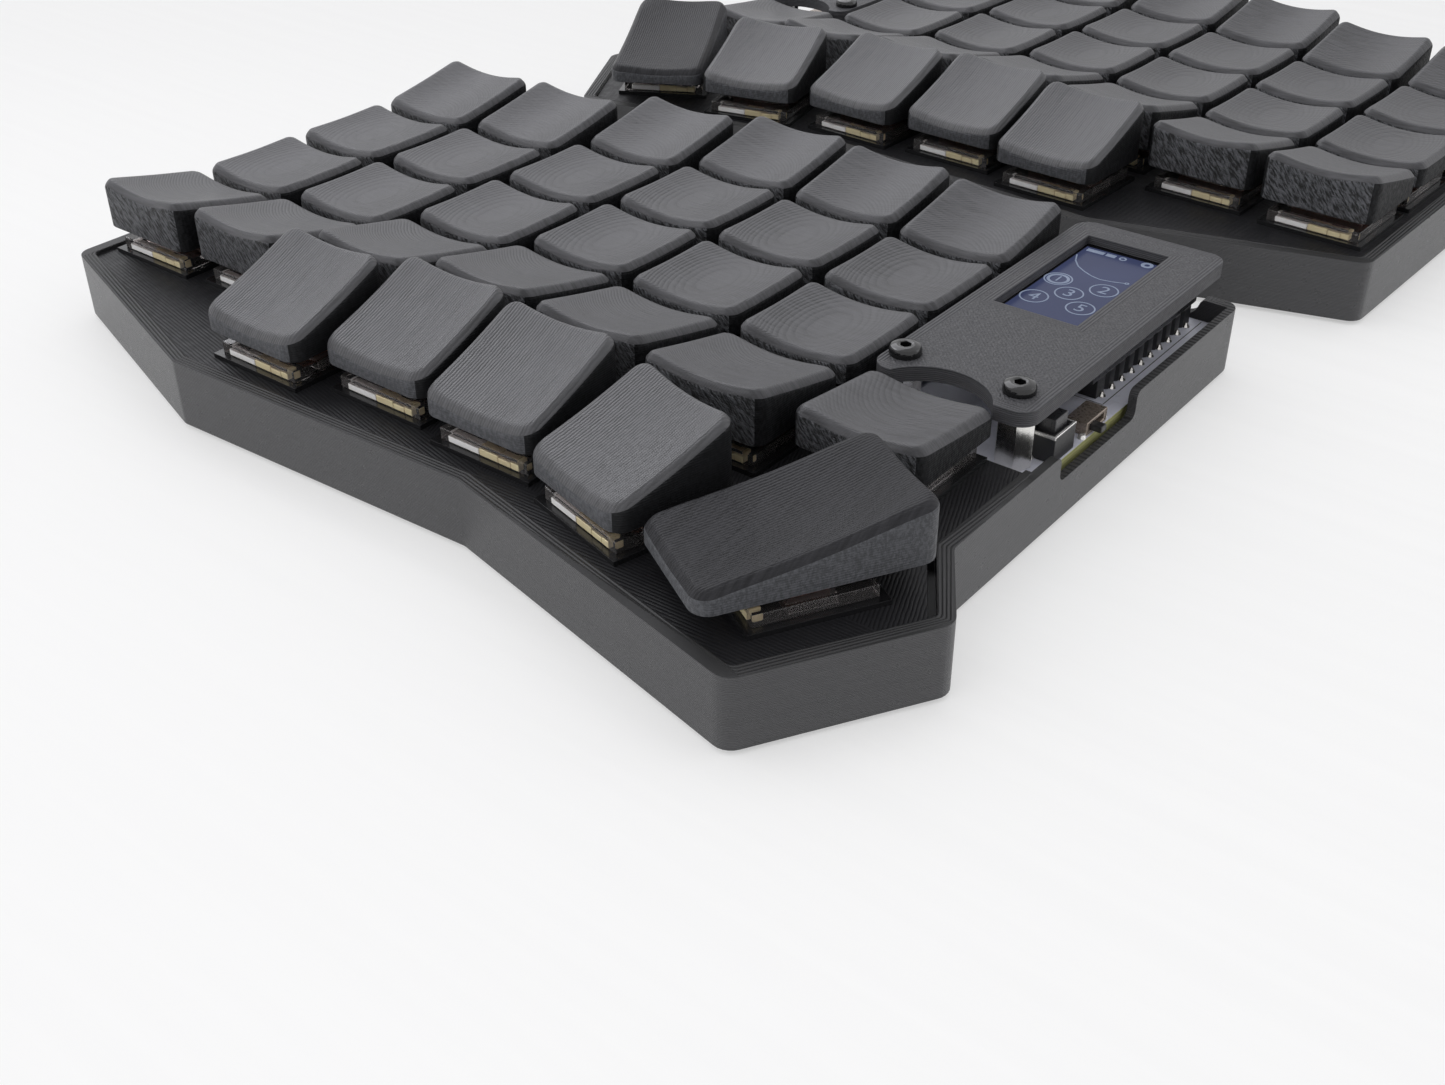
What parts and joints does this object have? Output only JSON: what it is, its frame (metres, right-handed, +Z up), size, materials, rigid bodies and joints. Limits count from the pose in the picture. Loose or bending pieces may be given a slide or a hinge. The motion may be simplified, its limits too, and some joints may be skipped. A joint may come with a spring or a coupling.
{
  "type": "split keyboard",
  "caption": "Low-profile column-staggered split keyboard, two mirrored halves with sculpted key caps on clear switches, thumb keys, a display under a screwed cover and side switches.",
  "frame": {"origin": "middle of the pair's outline on the table, at the undersides of the rubber feet", "axes": "+X to the right and +Y to the back for someone typing on the left half; +Z up"},
  "size_m": [0.1442, 0.208, 0.0215],
  "materials": {
    "printed_black": "printed, matt black",
    "cap_black": "printed, matt black with layer lines",
    "board_white": "white solder mask",
    "board_black": "black solder mask",
    "clear_plastic": "clear moulded plastic",
    "contact_metal": "plated strip",
    "panel_glass": "dark display panel",
    "post_metal": "plain metal",
    "screw_black": "black oxide",
    "rubber_black": "soft black rubber",
    "header_black": "moulded black",
    "steel": "stamped steel",
    "foil": "foil pouch",
    "button_black": "moulded black"
  },
  "bodies": {
    "base": {"left_case": "printed_black", "right_case": "printed_black", "left_switch_plate": "printed_black", "right_switch_plate": "printed_black", "left_main_pcb": "board_white", "right_main_pcb": "board_white", "switch_bases": "clear_plastic", "switch_tops": "clear_plastic", "switch_contacts": "contact_metal", "display_covers": "printed_black", "display_panels": "panel_glass", "cover_standoffs": "post_metal", "cover_screws": "screw_black", "case_screws": "screw_black", "rubber_feet": "rubber_black", "controller_boards": "board_black", "pin_headers": "header_black", "usb_ports": "steel", "batteries": "foil", "power_switch_bodies": "steel", "reset_button_bodies": "button_black"},
    "left_power_slider": {"left_power_slider": "button_black"},
    "right_power_slider": {"right_power_slider": "button_black"},
    "left_reset_plunger": {"left_reset_plunger": "button_black"},
    "right_reset_plunger": {"right_reset_plunger": "button_black"},
    "left_number_key_1": {"left_number_key_1": "cap_black"},
    "left_number_key_2": {"left_number_key_2": "cap_black"},
    "left_number_key_3": {"left_number_key_3": "cap_black"},
    "left_number_key_4": {"left_number_key_4": "cap_black"},
    "left_number_key_5": {"left_number_key_5": "cap_black"},
    "left_number_key_6": {"left_number_key_6": "cap_black"},
    "left_upper_key_1": {"left_upper_key_1": "cap_black"},
    "left_upper_key_2": {"left_upper_key_2": "cap_black"},
    "left_upper_key_3": {"left_upper_key_3": "cap_black"},
    "left_upper_key_4": {"left_upper_key_4": "cap_black"},
    "left_upper_key_5": {"left_upper_key_5": "cap_black"},
    "left_upper_key_6": {"left_upper_key_6": "cap_black"},
    "left_home_key_1": {"left_home_key_1": "cap_black"},
    "left_home_key_2": {"left_home_key_2": "cap_black"},
    "left_home_key_3": {"left_home_key_3": "cap_black"},
    "left_home_key_4": {"left_home_key_4": "cap_black"},
    "left_home_key_5": {"left_home_key_5": "cap_black"},
    "left_home_key_6": {"left_home_key_6": "cap_black"},
    "left_lower_key_1": {"left_lower_key_1": "cap_black"},
    "left_lower_key_2": {"left_lower_key_2": "cap_black"},
    "left_lower_key_3": {"left_lower_key_3": "cap_black"},
    "left_lower_key_4": {"left_lower_key_4": "cap_black"},
    "left_lower_key_5": {"left_lower_key_5": "cap_black"},
    "left_lower_key_6": {"left_lower_key_6": "cap_black"},
    "left_thumb_key_1": {"left_thumb_key_1": "cap_black"},
    "left_thumb_key_2": {"left_thumb_key_2": "cap_black"},
    "left_thumb_key_3": {"left_thumb_key_3": "cap_black"},
    "left_thumb_key_4": {"left_thumb_key_4": "cap_black"},
    "left_thumb_key_5": {"left_thumb_key_5": "cap_black"},
    "left_inner_key": {"left_inner_key": "cap_black"},
    "right_number_keys": {"right_number_keys": "cap_black"},
    "right_upper_keys": {"right_upper_keys": "cap_black"},
    "right_home_keys": {"right_home_keys": "cap_black"},
    "right_lower_keys": {"right_lower_keys": "cap_black"},
    "right_thumb_keys": {"right_thumb_keys": "cap_black"}
  },
  "joints": [
    {"name": "left_power_slider_slide", "type": "slide", "parent": "base", "child": "left_power_slider", "axis": [0, 1, 0], "range_m": [0, 0.002]},
    {"name": "right_power_slider_slide", "type": "slide", "parent": "base", "child": "right_power_slider", "axis": [0.0436, 0.999, 0], "range_m": [0, 0.002]},
    {"name": "left_reset_plunger_slide", "type": "slide", "parent": "base", "child": "left_reset_plunger", "axis": [0, 0, -1], "range_m": [0, 0.00025], "stiffness_N_per_m": 3000, "springref_m": -0.0003},
    {"name": "right_reset_plunger_slide", "type": "slide", "parent": "base", "child": "right_reset_plunger", "axis": [0, 0, -1], "range_m": [0, 0.00025], "stiffness_N_per_m": 3000, "springref_m": -0.0003},
    {"name": "left_number_key_1_slide", "type": "slide", "parent": "base", "child": "left_number_key_1", "axis": [0, 0, -1], "range_m": [0, 0.003], "stiffness_N_per_m": 80, "springref_m": -0.0032},
    {"name": "left_number_key_2_slide", "type": "slide", "parent": "base", "child": "left_number_key_2", "axis": [0, 0, -1], "range_m": [0, 0.003], "stiffness_N_per_m": 80, "springref_m": -0.0032},
    {"name": "left_number_key_3_slide", "type": "slide", "parent": "base", "child": "left_number_key_3", "axis": [0, 0, -1], "range_m": [0, 0.003], "stiffness_N_per_m": 80, "springref_m": -0.0032},
    {"name": "left_number_key_4_slide", "type": "slide", "parent": "base", "child": "left_number_key_4", "axis": [0, 0, -1], "range_m": [0, 0.003], "stiffness_N_per_m": 80, "springref_m": -0.0032},
    {"name": "left_number_key_5_slide", "type": "slide", "parent": "base", "child": "left_number_key_5", "axis": [0, 0, -1], "range_m": [0, 0.003], "stiffness_N_per_m": 80, "springref_m": -0.0032},
    {"name": "left_number_key_6_slide", "type": "slide", "parent": "base", "child": "left_number_key_6", "axis": [0, 0, -1], "range_m": [0, 0.003], "stiffness_N_per_m": 80, "springref_m": -0.0032},
    {"name": "left_upper_key_1_slide", "type": "slide", "parent": "base", "child": "left_upper_key_1", "axis": [0, 0, -1], "range_m": [0, 0.003], "stiffness_N_per_m": 80, "springref_m": -0.0032},
    {"name": "left_upper_key_2_slide", "type": "slide", "parent": "base", "child": "left_upper_key_2", "axis": [0, 0, -1], "range_m": [0, 0.003], "stiffness_N_per_m": 80, "springref_m": -0.0032},
    {"name": "left_upper_key_3_slide", "type": "slide", "parent": "base", "child": "left_upper_key_3", "axis": [0, 0, -1], "range_m": [0, 0.003], "stiffness_N_per_m": 80, "springref_m": -0.0032},
    {"name": "left_upper_key_4_slide", "type": "slide", "parent": "base", "child": "left_upper_key_4", "axis": [0, 0, -1], "range_m": [0, 0.003], "stiffness_N_per_m": 80, "springref_m": -0.0032},
    {"name": "left_upper_key_5_slide", "type": "slide", "parent": "base", "child": "left_upper_key_5", "axis": [0, 0, -1], "range_m": [0, 0.003], "stiffness_N_per_m": 80, "springref_m": -0.0032},
    {"name": "left_upper_key_6_slide", "type": "slide", "parent": "base", "child": "left_upper_key_6", "axis": [0, 0, -1], "range_m": [0, 0.003], "stiffness_N_per_m": 80, "springref_m": -0.0032},
    {"name": "left_home_key_1_slide", "type": "slide", "parent": "base", "child": "left_home_key_1", "axis": [0, 0, -1], "range_m": [0, 0.003], "stiffness_N_per_m": 80, "springref_m": -0.0032},
    {"name": "left_home_key_2_slide", "type": "slide", "parent": "base", "child": "left_home_key_2", "axis": [0, 0, -1], "range_m": [0, 0.003], "stiffness_N_per_m": 80, "springref_m": -0.0032},
    {"name": "left_home_key_3_slide", "type": "slide", "parent": "base", "child": "left_home_key_3", "axis": [0, 0, -1], "range_m": [0, 0.003], "stiffness_N_per_m": 80, "springref_m": -0.0032},
    {"name": "left_home_key_4_slide", "type": "slide", "parent": "base", "child": "left_home_key_4", "axis": [0, 0, -1], "range_m": [0, 0.003], "stiffness_N_per_m": 80, "springref_m": -0.0032},
    {"name": "left_home_key_5_slide", "type": "slide", "parent": "base", "child": "left_home_key_5", "axis": [0, 0, -1], "range_m": [0, 0.003], "stiffness_N_per_m": 80, "springref_m": -0.0032},
    {"name": "left_home_key_6_slide", "type": "slide", "parent": "base", "child": "left_home_key_6", "axis": [0, 0, -1], "range_m": [0, 0.003], "stiffness_N_per_m": 80, "springref_m": -0.0032},
    {"name": "left_lower_key_1_slide", "type": "slide", "parent": "base", "child": "left_lower_key_1", "axis": [0, 0, -1], "range_m": [0, 0.003], "stiffness_N_per_m": 80, "springref_m": -0.0032},
    {"name": "left_lower_key_2_slide", "type": "slide", "parent": "base", "child": "left_lower_key_2", "axis": [0, 0, -1], "range_m": [0, 0.003], "stiffness_N_per_m": 80, "springref_m": -0.0032},
    {"name": "left_lower_key_3_slide", "type": "slide", "parent": "base", "child": "left_lower_key_3", "axis": [0, 0, -1], "range_m": [0, 0.003], "stiffness_N_per_m": 80, "springref_m": -0.0032},
    {"name": "left_lower_key_4_slide", "type": "slide", "parent": "base", "child": "left_lower_key_4", "axis": [0, 0, -1], "range_m": [0, 0.003], "stiffness_N_per_m": 80, "springref_m": -0.0032},
    {"name": "left_lower_key_5_slide", "type": "slide", "parent": "base", "child": "left_lower_key_5", "axis": [0, 0, -1], "range_m": [0, 0.003], "stiffness_N_per_m": 80, "springref_m": -0.0032},
    {"name": "left_lower_key_6_slide", "type": "slide", "parent": "base", "child": "left_lower_key_6", "axis": [0, 0, -1], "range_m": [0, 0.003], "stiffness_N_per_m": 80, "springref_m": -0.0032},
    {"name": "left_thumb_key_1_slide", "type": "slide", "parent": "base", "child": "left_thumb_key_1", "axis": [0, 0, -1], "range_m": [0, 0.003], "stiffness_N_per_m": 80, "springref_m": -0.0032},
    {"name": "left_thumb_key_2_slide", "type": "slide", "parent": "base", "child": "left_thumb_key_2", "axis": [0, 0, -1], "range_m": [0, 0.003], "stiffness_N_per_m": 80, "springref_m": -0.0032},
    {"name": "left_thumb_key_3_slide", "type": "slide", "parent": "base", "child": "left_thumb_key_3", "axis": [0, 0, -1], "range_m": [0, 0.003], "stiffness_N_per_m": 80, "springref_m": -0.0032},
    {"name": "left_thumb_key_4_slide", "type": "slide", "parent": "base", "child": "left_thumb_key_4", "axis": [0, 0, -1], "range_m": [0, 0.003], "stiffness_N_per_m": 80, "springref_m": -0.0032},
    {"name": "left_thumb_key_5_slide", "type": "slide", "parent": "base", "child": "left_thumb_key_5", "axis": [0, 0, -1], "range_m": [0, 0.003], "stiffness_N_per_m": 80, "springref_m": -0.0032},
    {"name": "left_inner_key_slide", "type": "slide", "parent": "base", "child": "left_inner_key", "axis": [0, 0, -1], "range_m": [0, 0.003], "stiffness_N_per_m": 80, "springref_m": -0.0032},
    {"name": "right_number_keys_slide", "type": "slide", "parent": "base", "child": "right_number_keys", "axis": [0, 0, -1], "range_m": [0, 0.003], "stiffness_N_per_m": 480, "springref_m": -0.0032},
    {"name": "right_upper_keys_slide", "type": "slide", "parent": "base", "child": "right_upper_keys", "axis": [0, 0, -1], "range_m": [0, 0.003], "stiffness_N_per_m": 480, "springref_m": -0.0032},
    {"name": "right_home_keys_slide", "type": "slide", "parent": "base", "child": "right_home_keys", "axis": [0, 0, -1], "range_m": [0, 0.003], "stiffness_N_per_m": 480, "springref_m": -0.0032},
    {"name": "right_lower_keys_slide", "type": "slide", "parent": "base", "child": "right_lower_keys", "axis": [0, 0, -1], "range_m": [0, 0.003], "stiffness_N_per_m": 560, "springref_m": -0.0032},
    {"name": "right_thumb_keys_slide", "type": "slide", "parent": "base", "child": "right_thumb_keys", "axis": [0, 0, -1], "range_m": [0, 0.003], "stiffness_N_per_m": 400, "springref_m": -0.0032}
  ]
}
